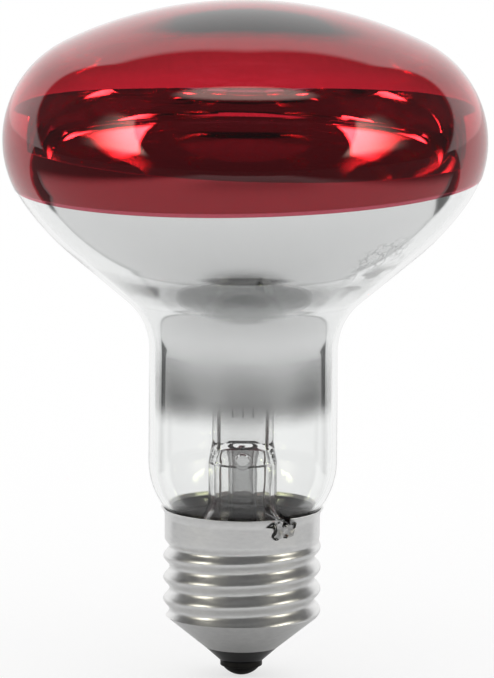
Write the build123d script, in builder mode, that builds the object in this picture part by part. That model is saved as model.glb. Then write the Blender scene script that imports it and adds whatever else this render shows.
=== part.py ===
from build123d import *
from math import atan2, ceil, cos, degrees, radians, sin, sqrt, tan
import os

# Reflector bulb with a screw cap, standing on its cap.
# Millimetres and degrees. Z = 0 is the tip of the centre contact, +Z runs up to the crown of the dome.
# The front of the bulb faces -Y and +X is to its right.

# Whole lamp
overall_length = 112.8
bulb_diameter = 80.0
cap_height = 28.4

# Blown glass, its outer outline from the crown down
glass_wall = 0.9
dome_radius = 68.0
rim_radius = 17.3
bowl_start_angle = 34.5
bowl_radius = 45.0
cone_angle = 49.6
throat_radius = 11.1
neck_diameter = 31.3
neck_end_radius = 12.9
tail_bend_radius = 3.0

# Coats on the glass
film_gap = 0.02
lacquer_film = 0.12
lacquer_edge_height = 83.2
lacquer_edge_slope = 0.030
mirror_film = 0.12
mirror_front_height = 89.3
mirror_front_slope_x = -0.030
mirror_front_slope_y = 0.008
mirror_ramp_start = -17.5
mirror_ramp_slope_x = -0.03
mirror_ramp_slope_y = 2.4
mirror_back_height = 95.3
mirror_back_middle = 17.0
mirror_back_slope_x = 0.006
mirror_back_slope_y = -0.020
mirror_bottom_height = 43.0

# Screw shell, rolled from one sheet
sheet = 0.3
thread_pitch = 3.629
thread_major_diameter = 26.2
thread_depth = 1.05
thread_phase = -19.0
thread_runout = 2.2
thread_steps_per_turn = 12
skirt_diameter = 25.8
skirt_length = 3.1
rim_flare_radius = 2.2
rim_flare_height = 1.5
end_cone_angle = 51.0
end_cone_diameter = 12.4
wire_notch_width = 1.4
side_contact_angle = -56.0

# Glass insulator and centre contact
insulator_nose_height = 2.4
insulator_depth = 3.7
insulator_ledge = 1.8
insulator_dish_depth = 2.6
contact_diameter = 7.0
contact_thickness = 0.9
contact_hole_diameter = 1.8
contact_edge_radius = 0.2
solder_height = 1.6
solder_margin = 0.15
side_solder_width = 4.2
side_solder_height = 0.75
side_solder_drop = 1.75

# Cement and gaps round the neck
cement_gap = 0.9
rim_gap = 0.2

# Glass stem
stem_height = 21.8
stem_diameter = 11.4
stem_wall = 0.9
press_width = 10.2
press_thickness = 4.2
press_corner_radius = 1.9
press_height = 6.1
press_shoulder_height = 3.5
press_top_radius = 1.3
stem_bore_rise = 2.3
exhaust_diameter = 4.8
exhaust_wall = 0.8
exhaust_tip_gap = 6.0
exhaust_hole_diameter = 2.2
exhaust_hole_margin = 0.5

# Wires and filament
lead_spacing = 7.4
lead_diameter = 0.6
seal_wire_diameter = 0.4
outer_lead_diameter = 0.4
weld_depth = 1.0
lead_straight = 4.5
lead_spread_height = 8.0
lead_tip_length = 1.8
lead_bend_radius = 3.0
tip_bend_radius = 0.9
filament_rise = 22.4
filament_arc_diameter = 19.0
filament_coil_diameter = 1.0
support_angles = {"left": 135.0, "middle": 90.0, "right": 45.0}
support_spacing = 1.7
support_diameter = 0.3
support_depth = 2.0
support_straight = 3.0
support_upright = 6.0
support_bend_radius = 2.0
support_clearance = 0.05
support_loop_angle = 270.0
lead_clearance = 0.05
outer_bend_radius = 0.7
lead_end_in_solder = 0.5

# Heights on the axis that follow from the sizes above
contact_seat = solder_height + contact_thickness
shell_end = contact_seat + insulator_nose_height
insulator_top = shell_end + insulator_depth
insulator_floor = insulator_top - insulator_dish_depth
flare_start = cap_height - rim_flare_height
thread_top = flare_start - skirt_length
seal_height = thread_top
crown_height = overall_length - lacquer_film - film_gap
press_top = seal_height + stem_height
press_base = press_top - press_height
shoulder_base = press_base - press_shoulder_height
bore_top = shoulder_base + stem_bore_rise
filament_height = press_top + filament_rise

# Radii that follow
bulb_radius = bulb_diameter / 2
neck_radius = neck_diameter / 2
stem_radius = stem_diameter / 2
skirt_radius = skirt_diameter / 2
thread_mean_radius = (thread_major_diameter - thread_depth) / 2
end_cone_radius = end_cone_diameter / 2
contact_radius = contact_diameter / 2
filament_radius = filament_arc_diameter / 2
skirt_inner_radius = skirt_radius - sheet
tail_radius = skirt_inner_radius - cement_gap

# Centres of the arcs in the glass outline, each tangent to the next
equator = crown_height - dome_radius + sqrt((dome_radius - rim_radius) ** 2 - (bulb_radius - rim_radius) ** 2)
dome_centre = (0, crown_height - dome_radius)
rim_centre = (bulb_radius - rim_radius, equator)
rim_angle = degrees(atan2(equator - dome_centre[1], rim_centre[0]))
bowl_centre = (
    rim_centre[0] + (rim_radius - bowl_radius) * cos(radians(bowl_start_angle)),
    rim_centre[1] - (rim_radius - bowl_radius) * sin(radians(bowl_start_angle)),
)
cone_top = (
    bowl_centre[0] + bowl_radius * cos(radians(cone_angle)),
    bowl_centre[1] - bowl_radius * sin(radians(cone_angle)),
)
throat_start_radius = neck_radius + throat_radius * (1 - cos(radians(cone_angle)))
cone_drop = (cone_top[0] - throat_start_radius) / tan(radians(cone_angle))
throat_centre = (
    neck_radius + throat_radius,
    cone_top[1] - cone_drop - throat_radius * sin(radians(cone_angle)),
)
flare_inner_radius = skirt_radius + rim_flare_radius - sqrt((rim_flare_radius + sheet) ** 2 - rim_flare_height**2)
glass_radius_at_rim = flare_inner_radius - rim_gap
neck_end_x = neck_radius - neck_end_radius
neck_end_centre = (
    neck_end_x,
    cap_height + sqrt(neck_end_radius**2 - (glass_radius_at_rim - neck_end_x) ** 2),
)
tail_bend_x = tail_radius + tail_bend_radius
tail_bend_centre = (
    tail_bend_x,
    neck_end_centre[1] - sqrt((neck_end_radius + tail_bend_radius) ** 2 - (tail_bend_x - neck_end_x) ** 2),
)
tail_angle = degrees(atan2(neck_end_centre[1] - tail_bend_centre[1], tail_bend_x - neck_end_x))


def envelope_outline(inset):
    """Draw the half outline of the glass from the crown to the tail, moved inwards by inset."""
    dome = CenterArc(dome_centre, dome_radius - inset, 90, rim_angle - 90)
    rim = CenterArc(rim_centre, rim_radius - inset, rim_angle, -rim_angle - bowl_start_angle)
    bowl = CenterArc(bowl_centre, bowl_radius - inset, -bowl_start_angle, bowl_start_angle - cone_angle)
    throat = CenterArc(throat_centre, throat_radius + inset, 180 - cone_angle, cone_angle)
    neck_end = CenterArc(neck_end_centre, neck_end_radius - inset, 0, -tail_angle)
    tail_bend = CenterArc(tail_bend_centre, tail_bend_radius + inset, 180 - tail_angle, tail_angle)
    Line(bowl @ 1, throat @ 0)
    Line(throat @ 1, neck_end @ 0)
    tail = Line(tail_bend @ 1, (tail_radius - inset, seal_height))
    return dome @ 0, tail @ 1


def envelope_layer(outer_inset, inner_inset):
    """Add a layer that follows the whole glass outline between two insets."""
    with BuildSketch(Plane.XZ) as wall_section:
        with BuildLine():
            outer_crown, outer_tail = envelope_outline(outer_inset)
            inner_crown, inner_tail = envelope_outline(inner_inset)
            Line(outer_crown, inner_crown)
            Line(outer_tail, inner_tail)
        make_face()
    revolve(wall_section.sketch, axis=Axis.Z)


def wire_run(points, bends, diameter):
    """Add a round wire along straight runs joined by bends."""
    with BuildLine() as route:
        FilletPolyline(*points, radius=bends)
    with BuildSketch(Plane(origin=route.line @ 0, z_dir=route.line % 0)) as wire_section:
        Circle(diameter / 2)
    sweep(wire_section.sketch, path=route.line)


def screw_form(inset):
    """Add the screw shell's outer form, moved inwards by inset, as a solid.

    A rolled round thread cut square to its axis is a circle set off the axis, and that circle turns
    once round the axis in each pitch, so the thread is a loft through such circles.
    """
    section_count = ceil((thread_top - shell_end) / thread_pitch * thread_steps_per_turn)
    thread_sections = []
    for step in range(section_count + 1):
        height = shell_end + (thread_top - shell_end) * step / section_count
        share = min((thread_top - height) / thread_runout, 1)
        rolled = share**2 * (3 - 2 * share)
        throw = rolled * thread_depth / 2
        crest_angle = radians(thread_phase + 360 * height / thread_pitch)
        with BuildSketch(Plane.XY.offset(height)) as thread_section:
            with Locations((throw * cos(crest_angle), throw * sin(crest_angle))):
                Circle(skirt_radius + rolled * (thread_mean_radius - skirt_radius) - inset)
        thread_sections.append(thread_section.sketch)
    loft(thread_sections)

    flare_centre = (skirt_radius + rim_flare_radius, flare_start)
    arc_radius = rim_flare_radius + inset
    flare_sweep = degrees(atan2(rim_flare_height, sqrt(arc_radius**2 - rim_flare_height**2)))
    with BuildSketch(Plane.XZ) as skirt_section:
        with BuildLine():
            flare = CenterArc(flare_centre, arc_radius, 180, -flare_sweep)
            Polyline(flare @ 0, (skirt_radius - inset, thread_top), (0, thread_top), (0, cap_height), flare @ 1)
        make_face()
    revolve(skirt_section.sketch, axis=Axis.Z)

    end_radius = end_cone_radius - inset / cos(radians(end_cone_angle))
    cone_reach = (cap_height - shell_end) * tan(radians(end_cone_angle))
    with BuildSketch(Plane.XZ) as cone_section:
        with BuildLine():
            Polyline(
                (0, shell_end),
                (end_radius, shell_end),
                (end_radius + cone_reach, cap_height),
                (0, cap_height),
                close=True,
            )
        make_face()
    revolve(cone_section.sketch, axis=Axis.Z, mode=Mode.INTERSECT)


# Blown glass envelope, clear from crown to tail
with BuildPart() as glass_envelope:
    envelope_layer(0, glass_wall)

# Transparent red lacquer, dipped over the dome to an edge that is not quite level
with BuildPart() as red_lacquer:
    envelope_layer(-film_gap - lacquer_film, -film_gap)
    split(
        bisect_by=Plane(origin=(0, 0, lacquer_edge_height), z_dir=(-lacquer_edge_slope, 0, 1)),
        keep=Keep.TOP,
    )

# The mirror's upper edge is low in front, climbs at the sides and is high at the back
mirror_front_plane = Plane(
    origin=(0, mirror_ramp_start, mirror_front_height),
    z_dir=(-mirror_front_slope_x, -mirror_front_slope_y, 1),
)
mirror_ramp_plane = Plane(
    origin=(0, mirror_ramp_start, mirror_front_height),
    z_dir=(-mirror_ramp_slope_x, -mirror_ramp_slope_y, 1),
)
mirror_back_plane = Plane(
    origin=(0, mirror_back_middle, mirror_back_height),
    z_dir=(-mirror_back_slope_x, -mirror_back_slope_y, 1),
)
with BuildPart() as clear_over_ramp:
    with Locations((0, 0, overall_length)):
        Box(2 * bulb_diameter, 2 * bulb_diameter, overall_length)
    split(bisect_by=mirror_front_plane, keep=Keep.TOP)
    split(bisect_by=mirror_ramp_plane, keep=Keep.TOP)
with BuildPart() as clear_over_back:
    with Locations((0, 0, overall_length)):
        Box(2 * bulb_diameter, 2 * bulb_diameter, overall_length)
    split(bisect_by=mirror_front_plane, keep=Keep.TOP)
    split(bisect_by=mirror_back_plane, keep=Keep.TOP)

# Mirror, metal vapour laid on the inside of the bowl and the upper neck
with BuildPart() as mirror_coating:
    envelope_layer(glass_wall + film_gap, glass_wall + film_gap + mirror_film)
    add(clear_over_ramp.part, mode=Mode.SUBTRACT)
    add(clear_over_back.part, mode=Mode.SUBTRACT)
    split(bisect_by=Plane.XY.offset(mirror_bottom_height), keep=Keep.TOP)

# Leads: the outer wire, the seal wire inside the press and the inner wire are welded end to end
lead_x = {"left": -lead_spacing / 2, "right": lead_spacing / 2}
seal_wire_base = bore_top + weld_depth
seal_wire_top = press_top - weld_depth
inner_leads = {}
seal_wires = {}
for side, x in lead_x.items():
    outward = x / abs(x)
    tip_x = outward * filament_radius
    with BuildPart() as inner_lead:
        wire_run(
            [
                (x, 0, seal_wire_top),
                (x, 0, press_top + lead_straight),
                (tip_x, -lead_tip_length, press_top + lead_straight + lead_spread_height),
                (tip_x, -lead_tip_length, filament_height),
                (tip_x, 0, filament_height),
            ],
            [lead_bend_radius, lead_bend_radius, tip_bend_radius],
            lead_diameter,
        )
    with BuildPart() as seal_wire:
        with BuildSketch(Plane.XY.offset(seal_wire_base)):
            with Locations((x, 0)):
                Circle(seal_wire_diameter / 2)
        extrude(amount=seal_wire_top - seal_wire_base)
    inner_leads[side] = inner_lead
    seal_wires[side] = seal_wire

# The left lead goes on to the centre contact, past the tip of the exhaust tube
exhaust_tip = insulator_top + exhaust_tip_gap
crossing_top = exhaust_tip - exhaust_diameter / 2
crossing_base = insulator_top
with BuildPart() as centre_lead:
    wire_run(
        [
            (lead_x["left"], 0, seal_wire_base),
            (lead_x["left"], 0, crossing_top),
            (0, 0, crossing_base),
            (0, 0, solder_height - lead_end_in_solder),
        ],
        [outer_bend_radius, outer_bend_radius],
        outer_lead_diameter,
    )

# The right lead turns under the seal, climbs beside the glass and comes out through the notch in the rim
side_x = cos(radians(side_contact_angle))
side_y = sin(radians(side_contact_angle))
climb_radius = tail_radius + outer_lead_diameter / 2 + lead_clearance
crossing_height = seal_height - outer_lead_diameter
exit_height = tail_bend_centre[1] - outer_lead_diameter / 2
notch_base = exit_height - outer_lead_diameter / 2 - lead_clearance
exit_radius = skirt_radius + lead_end_in_solder
with BuildPart() as side_lead:
    wire_run(
        [
            (lead_x["right"], 0, seal_wire_base),
            (lead_x["right"], 0, crossing_height),
            (climb_radius * side_x, climb_radius * side_y, crossing_height),
            (climb_radius * side_x, climb_radius * side_y, exit_height),
            (exit_radius * side_x, exit_radius * side_y, exit_height),
        ],
        [outer_bend_radius, outer_bend_radius, outer_bend_radius],
        outer_lead_diameter,
    )

# Support wires, set in the press and looped round the filament
loop_radius = (filament_coil_diameter + support_diameter) / 2 + support_clearance
stand_radius = filament_radius - loop_radius
supports = {}
for index, (place, angle) in enumerate(support_angles.items()):
    foot_x = (index - (len(support_angles) - 1) / 2) * support_spacing
    radial = (cos(radians(angle)), sin(radians(angle)), 0)
    stand = (stand_radius * radial[0], stand_radius * radial[1])
    with BuildPart() as support:
        wire_run(
            [
                (foot_x, 0, press_top - support_depth),
                (foot_x, 0, press_top + support_straight),
                (*stand, filament_height - support_upright),
                (*stand, filament_height),
            ],
            [support_bend_radius, support_bend_radius],
            support_diameter,
        )
        with BuildLine(Plane(origin=(0, 0, 0), x_dir=radial, z_dir=(radial[1], -radial[0], 0))) as loop:
            CenterArc((filament_radius, filament_height), loop_radius, 180, -support_loop_angle)
        with BuildSketch(Plane(origin=loop.line @ 0, z_dir=loop.line % 0)):
            Circle(support_diameter / 2)
        sweep(path=loop.line)
    supports[place] = support

# Coiled filament, a half ring carried between the two lead tips, drawn at the coil's outer diameter
with BuildPart() as filament:
    with BuildLine(Plane.XY.offset(filament_height)) as filament_line:
        CenterArc((0, 0), filament_radius, 180, -180)
    with BuildSketch(Plane(origin=filament_line.line @ 0, z_dir=filament_line.line % 0)):
        Circle(filament_coil_diameter / 2)
    sweep(path=filament_line.line)

# Exhaust tube, open to the bulb through the hole under the press and melted shut at its lower tip
exhaust_radius = exhaust_diameter / 2
exhaust_bore = exhaust_radius - exhaust_wall
tip_centre = (0, exhaust_tip + exhaust_radius)
exhaust_hole_height = bore_top - exhaust_hole_margin - exhaust_hole_diameter / 2
with BuildPart() as exhaust_tube:
    with BuildSketch(Plane.XZ):
        with BuildLine():
            tip_outside = CenterArc(tip_centre, exhaust_radius, -90, 90)
            tip_inside = CenterArc(tip_centre, exhaust_bore, -90, 90)
            Polyline(tip_outside @ 1, (exhaust_radius, bore_top), (exhaust_bore, bore_top), tip_inside @ 1)
            Line(tip_outside @ 0, tip_inside @ 0)
        make_face()
    revolve(axis=Axis.Z)
    with BuildSketch(Plane.XZ):
        with Locations((0, exhaust_hole_height)):
            Circle(exhaust_hole_diameter / 2)
    extrude(amount=exhaust_radius, mode=Mode.SUBTRACT)

# Glass stem: a tube flared out to the tail of the envelope and pinched flat into the press at its top
tail_inner_radius = tail_radius - glass_wall
flare_arc_radius = tail_inner_radius - stem_radius
flare_arc_centre = (tail_inner_radius, seal_height + stem_wall + flare_arc_radius)
bore_radius = stem_radius - stem_wall
rise_share = stem_bore_rise / press_shoulder_height
bore_top_width = 2 * (stem_radius + rise_share * (press_width / 2 - stem_radius) - stem_wall)
bore_top_thickness = 2 * (stem_radius + rise_share * (press_thickness / 2 - stem_radius) - stem_wall)
with BuildPart() as stem_flare:
    with BuildSketch(Plane.XY.offset(shoulder_base)):
        Circle(stem_radius)
    with BuildSketch(Plane.XY.offset(press_base)):
        RectangleRounded(press_width, press_thickness, press_corner_radius)
    loft()
    with BuildSketch(Plane.XY.offset(press_base)):
        RectangleRounded(press_width, press_thickness, press_corner_radius)
    extrude(amount=press_height)
    fillet(stem_flare.faces().sort_by(Axis.Z)[-1].edges(), press_top_radius)
    with BuildSketch(Plane.XY.offset(shoulder_base)):
        Circle(bore_radius)
    with BuildSketch(Plane.XY.offset(bore_top)):
        RectangleRounded(bore_top_width, bore_top_thickness, bore_top_thickness / 2 - stem_wall / 2)
    loft(mode=Mode.SUBTRACT)
    with BuildSketch(Plane.XZ):
        with BuildLine():
            upper = CenterArc(flare_arc_centre, flare_arc_radius, -90, -90)
            lower = CenterArc(flare_arc_centre, flare_arc_radius + stem_wall, -90, -90)
            Polyline(upper @ 1, (stem_radius, shoulder_base), (bore_radius, shoulder_base), lower @ 1)
            Line(upper @ 0, lower @ 0)
        make_face()
    revolve(axis=Axis.Z)
    with BuildSketch(Plane.XZ):
        with Locations((0, exhaust_hole_height)):
            Circle(exhaust_hole_diameter / 2)
    extrude(amount=stem_radius, mode=Mode.SUBTRACT)
    for embedded in [*inner_leads.values(), *seal_wires.values(), *supports.values(), centre_lead, side_lead]:
        add(embedded.part, mode=Mode.SUBTRACT)

# Screw shell: flared rim, plain skirt, rolled thread and end cone in one thin sheet
with BuildPart() as screw_cavity:
    screw_form(sheet)
with BuildPart() as cap_shell:
    screw_form(0)
    add(screw_cavity.part, mode=Mode.SUBTRACT)
    with BuildSketch(Plane(origin=(0, 0, notch_base), x_dir=(side_x, side_y, 0))):
        with Locations((skirt_radius, 0)):
            Rectangle(2 * rim_flare_radius, wire_notch_width)
    extrude(amount=cap_height - notch_base, mode=Mode.SUBTRACT)

# Black glass insulator, fused into the end cone and dished inside round the hole for the lead
cone_slope = tan(radians(end_cone_angle))
insulator_hole_radius = contact_hole_diameter / 2
shell_end_inner = end_cone_radius - sheet / cos(radians(end_cone_angle))
insulator_top_radius = shell_end_inner + insulator_depth * cone_slope
with BuildPart() as cap_insulator:
    with BuildSketch(Plane.XZ):
        with BuildLine():
            Polyline(
                (insulator_hole_radius, contact_seat),
                (contact_radius, contact_seat),
                (end_cone_radius, shell_end),
                (shell_end_inner, shell_end),
                (insulator_top_radius, insulator_top),
                (insulator_top_radius - insulator_ledge, insulator_top),
                (contact_radius, insulator_floor),
                (insulator_hole_radius, insulator_floor),
                close=True,
            )
        make_face()
    revolve(axis=Axis.Z)

# Centre contact plate with a hole for the lead
with BuildPart() as contact_plate:
    with BuildSketch(Plane.XY.offset(solder_height)):
        Circle(contact_radius)
        Circle(insulator_hole_radius, mode=Mode.SUBTRACT)
    extrude(amount=contact_thickness)
    fillet(contact_plate.edges().filter_by(GeomType.CIRCLE).group_by(Axis.Z)[0].sort_by(SortBy.RADIUS)[-1],
           contact_edge_radius)

# Solder on the centre contact: a drop outside and a plug in the plate's hole
drop_radius = contact_radius - contact_edge_radius - solder_margin
drop_sphere = (drop_radius**2 + solder_height**2) / (2 * solder_height)
drop_sweep = degrees(atan2(drop_radius, drop_sphere - solder_height))
with BuildPart() as centre_solder:
    with BuildSketch(Plane.XZ):
        with BuildLine():
            drop = CenterArc((0, drop_sphere), drop_sphere, -90, drop_sweep)
            Polyline(
                drop @ 1,
                (insulator_hole_radius, solder_height),
                (insulator_hole_radius, contact_seat),
                (0, contact_seat),
                drop @ 0,
            )
        make_face()
    revolve(axis=Axis.Z)
    add(centre_lead.part, mode=Mode.SUBTRACT)

# Solder where the side lead comes over the rim: a flat drop on the skirt and a plug in the notch
side_plane = Plane(origin=(0, 0, cap_height - side_solder_drop), x_dir=(side_x, side_y, 0))
side_sphere = ((side_solder_width / 2) ** 2 + side_solder_height**2) / (2 * side_solder_height)
with BuildPart() as side_solder:
    with BuildSketch(side_plane):
        with BuildLine():
            Line((skirt_radius + side_solder_height - 2 * side_sphere, 0), (skirt_radius + side_solder_height, 0))
            CenterArc((skirt_radius + side_solder_height - side_sphere, 0), side_sphere, 0, 180)
        make_face()
    revolve(axis=Axis(side_plane.origin, side_plane.x_dir), revolution_arc=360)
    with BuildSketch(Plane.XY):
        Circle(skirt_radius)
    extrude(amount=overall_length, mode=Mode.SUBTRACT)
    with BuildSketch(Plane(origin=(0, 0, notch_base), x_dir=(side_x, side_y, 0))):
        with Locations((skirt_radius, 0)):
            Rectangle(2 * sheet, wire_notch_width)
    extrude(amount=flare_start - notch_base)
    split(bisect_by=Plane.XY.offset(cap_height), keep=Keep.BOTTOM)
    add(cap_shell.part, mode=Mode.SUBTRACT)
    add(side_lead.part, mode=Mode.SUBTRACT)

# Cement ring that holds the cap on the tail of the glass
with BuildPart() as basing_cement:
    with BuildSketch(Plane.XY.offset(seal_height)):
        Circle(skirt_inner_radius)
        Circle(tail_radius, mode=Mode.SUBTRACT)
    extrude(amount=tail_bend_centre[1] - seal_height)
    add(side_lead.part, mode=Mode.SUBTRACT)

pieces = {
    "glass_envelope": glass_envelope,
    "red_lacquer": red_lacquer,
    "mirror_coating": mirror_coating,
    "stem_flare": stem_flare,
    "exhaust_tube": exhaust_tube,
    "filament": filament,
    "centre_lead": centre_lead,
    "side_lead": side_lead,
    "cap_shell": cap_shell,
    "cap_insulator": cap_insulator,
    "contact_plate": contact_plate,
    "centre_solder": centre_solder,
    "side_solder": side_solder,
    "basing_cement": basing_cement,
}
for side in lead_x:
    pieces[f"inner_lead_{side}"] = inner_leads[side]
    pieces[f"seal_wire_{side}"] = seal_wires[side]
for place in support_angles:
    pieces[f"support_wire_{place}"] = supports[place]

os.makedirs("parts", exist_ok=True)
for name, piece in pieces.items():
    piece.part.label = name
    export_step(piece.part, f"parts/{name}.step")
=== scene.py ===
# %% [markdown]
# # A reflector bulb with a red lacquered dome
# The bulb is one blown glass shell. Its bowl is mirrored on the inside and its dome is dipped in red
# lacquer. Nearly all that the eye sees on it is the room, reflected by metal or bent by glass. So the
# lesson builds true layers with smooth surfaces, and a simple studio for them to show.

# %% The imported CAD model, which stays as it is
from math import atan2, ceil, cos, pi, radians, sin, sqrt, tan

import bmesh
import bpy
from mathutils import Matrix, Vector


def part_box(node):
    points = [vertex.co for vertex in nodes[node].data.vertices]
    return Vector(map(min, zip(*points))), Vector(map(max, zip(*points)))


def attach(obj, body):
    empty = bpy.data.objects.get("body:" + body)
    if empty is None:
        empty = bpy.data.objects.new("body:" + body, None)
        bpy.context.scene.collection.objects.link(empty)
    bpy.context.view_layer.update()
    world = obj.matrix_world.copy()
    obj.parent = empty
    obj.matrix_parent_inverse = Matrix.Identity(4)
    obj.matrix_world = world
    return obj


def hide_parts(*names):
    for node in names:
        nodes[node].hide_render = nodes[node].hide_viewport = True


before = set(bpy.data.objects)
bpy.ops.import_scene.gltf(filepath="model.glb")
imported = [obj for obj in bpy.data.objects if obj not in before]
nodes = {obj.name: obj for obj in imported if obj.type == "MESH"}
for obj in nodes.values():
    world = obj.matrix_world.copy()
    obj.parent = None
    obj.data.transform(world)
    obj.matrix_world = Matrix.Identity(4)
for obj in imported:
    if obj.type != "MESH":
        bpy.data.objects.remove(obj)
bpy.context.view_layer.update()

mm = 0.001
scene = bpy.context.scene


# %% [markdown]
# A long lens from a little above the bulb's middle gives the flat, catalogue-like view of the photograph.
# The focal length is known in pixels, so the lens follows from the sensor and the picture's height. The
# bulb leans a hair to the right in the picture, which is a roll of the camera and not of the bulb.

# %% Camera
photo_height = 678
focal_pixels = 9655
camera_distance = 1.6
camera_elevation = radians(9.8)
camera_roll = radians(0.45)
aim_point = Vector((0.55, 0, 56.68)) * mm

camera_data = bpy.data.cameras.new("camera")
camera_data.sensor_width = 36
camera_data.lens = camera_data.sensor_width * focal_pixels / photo_height
camera = bpy.data.objects.new("camera", camera_data)
scene.collection.objects.link(camera)
towards_camera = Vector((0, -cos(camera_elevation), sin(camera_elevation)))
camera.location = aim_point + towards_camera * camera_distance
upright = towards_camera.to_track_quat("Z", "Y").to_matrix()
camera.rotation_euler = (upright @ Matrix.Rotation(camera_roll, 3, "Z")).to_euler()
scene.camera = camera
scene.view_settings.view_transform = "Standard"
print("lens in mm:", round(camera_data.lens, 1))

# %% [markdown]
# Shader trees are built node by node in code, which soon gets long. Small helpers keep each tree
# readable. These add a node, do arithmetic, split a vector and give a soft edge or a soft band. More
# helpers follow in the cells that first need them.

# %% Node helpers
def add_node(tree, kind, inputs=None, **settings):
    """Add a node; each input takes a plain value or another node's output."""
    made = tree.nodes.new(kind)
    for name, value in settings.items():
        setattr(made, name, value)
    for name, value in (inputs or {}).items():
        if isinstance(value, bpy.types.NodeSocket):
            tree.links.new(value, made.inputs[name])
        else:
            made.inputs[name].default_value = value
    return made


def arithmetic(tree, operation, first, second=0.0):
    """Add a Math node and return its value."""
    return add_node(tree, "ShaderNodeMath", {0: first, 1: second}, operation=operation).outputs[0]


def multiply(tree, *values):
    """Multiply several values together."""
    product = values[0]
    for value in values[1:]:
        product = arithmetic(tree, "MULTIPLY", product, value)
    return product


def opposite(tree, value):
    """Return 1 less value, which turns a mask round."""
    return arithmetic(tree, "SUBTRACT", 1.0, value)


def soft_step(tree, value, low, high):
    """Return 0 below low, 1 above high and a smooth rise between them."""
    limits = {0: value, 1: low, 2: high}
    return add_node(tree, "ShaderNodeMapRange", limits, interpolation_type="SMOOTHSTEP").outputs[0]


def inside(tree, value, middle, reach, softness):
    """Return 1 where value lies within reach of middle, with soft ends."""
    distance = arithmetic(tree, "ABSOLUTE", arithmetic(tree, "SUBTRACT", value, middle))
    return opposite(tree, soft_step(tree, distance, reach - softness, reach + softness))


def parts_of(tree, vector):
    """Split a vector into its X, Y and Z."""
    return add_node(tree, "ShaderNodeSeparateXYZ", {"Vector": vector}).outputs


print("helpers for shader trees are ready")

# %% [markdown]
# A studio for shiny things is mostly about what is dark. White paper curves up behind the bulb, the room
# in front is dim, and two lamps stand left and right of the camera. Real lamps and screens would also
# light everything that is not shiny, so these are drawn by direction in the world shader instead. The
# directions are angles in radians, seen from the bulb.

# %% Paper and lamps
room_level = 0.11
paper_level = 1.15
paper_half_width = radians(67)
paper_top = radians(50)
paper_curve = 1.5
paper_softness = 0.04
lamp_inner_edge = radians(42)
lamp_lean = 0.6
lamp_softness = 0.03
lamp_outer_fade = (1.05, 1.55)
lamp_elevation = 0.44
lamp_half_height = 0.26
lamp_end_softness = 0.06

world = bpy.data.worlds.new("studio")
scene.world = world
world.use_nodes = True
sky = world.node_tree
sky.nodes.clear()
x, y, z = parts_of(sky, add_node(sky, "ShaderNodeTexCoord").outputs["Generated"])
away = arithmetic(sky, "ABSOLUTE", arithmetic(sky, "ARCTAN2", x, arithmetic(sky, "MULTIPLY", y, -1.0)))
elevation = arithmetic(sky, "ARCSINE", z)

from_back = arithmetic(sky, "SUBTRACT", pi, away)
arch = arithmetic(sky, "POWER", arithmetic(sky, "DIVIDE", from_back, paper_half_width), paper_curve)
arch = multiply(sky, opposite(sky, arch), paper_top)
paper = soft_step(sky, arithmetic(sky, "SUBTRACT", arch, elevation), -paper_softness, paper_softness)
room = arithmetic(sky, "MAXIMUM", room_level, multiply(sky, paper, paper_level))

leaning = arithmetic(sky, "SUBTRACT", away, multiply(sky, elevation, lamp_lean))
lamp = multiply(
    sky,
    soft_step(sky, leaning, lamp_inner_edge - lamp_softness, lamp_inner_edge + lamp_softness),
    opposite(sky, soft_step(sky, away, *lamp_outer_fade)),
    inside(sky, elevation, lamp_elevation, lamp_half_height, lamp_end_softness),
)

print("nodes for paper and lamps:", len(sky.nodes))

# %% [markdown]
# The world shader tells rays apart by the path they have taken. Plain soft light goes to all that is not
# shiny, and the studio to rays that were mirrored or bent. The lamps are full in a first reflection and
# weaker behind glass. Rays that came through the lacquer and back are known by how often they crossed a
# see-through face and were bent. For them the lamps burn brighter, because the red film swallows most of
# their light twice. A small lamp over the crown shows in first reflections alone. A ray crosses many faces
# of glass on its way, so the limits on bounces are raised.

# %% What each ray sees
never_bent = 0.5
lacquer_crossings = 1.5
lacquer_bends = 5.5
lamp_level = 4.5
lamp_level_in_glass = 1.2
lamp_warmth = (1.0, 0.95, 0.80)
lamp_through_lacquer = (24.0, 25.0, 14.0)
overhead_elevation = radians(93)
overhead_reach = (0.36, 0.17)
overhead_edge = 0.85
overhead_softness = 0.4
overhead_level = (4.4, 3.0, 2.7)


def seen_rays(tree):
    """Return the light path's outputs, and a mask of the rays that come straight, mirrored or bent."""
    path = add_node(tree, "ShaderNodeLightPath").outputs
    turned = arithmetic(tree, "MAXIMUM", path["Is Glossy Ray"], path["Is Transmission Ray"])
    return path, arithmetic(tree, "MAXIMUM", path["Is Camera Ray"], turned)


path, seen = seen_rays(sky)
unbent = arithmetic(sky, "LESS_THAN", path["Transmission Depth"], never_bent)
through_lacquer = multiply(
    sky,
    arithmetic(sky, "GREATER_THAN", path["Transparent Depth"], lacquer_crossings),
    arithmetic(sky, "GREATER_THAN", path["Transmission Depth"], lacquer_bends),
)
brighter = multiply(sky, unbent, lamp_level - lamp_level_in_glass)
brightness = arithmetic(sky, "ADD", lamp_level_in_glass, brighter)

tilt = arithmetic(sky, "SUBTRACT", arithmetic(sky, "ARCTAN2", z, y), overhead_elevation)
across = arithmetic(sky, "POWER", arithmetic(sky, "DIVIDE", x, overhead_reach[0]), 2.0)
along = arithmetic(sky, "POWER", arithmetic(sky, "DIVIDE", tilt, overhead_reach[1]), 2.0)
overhead = inside(sky, arithmetic(sky, "ADD", across, along), 0.0, overhead_edge, overhead_softness)
overhead = multiply(sky, overhead, unbent)

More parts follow.
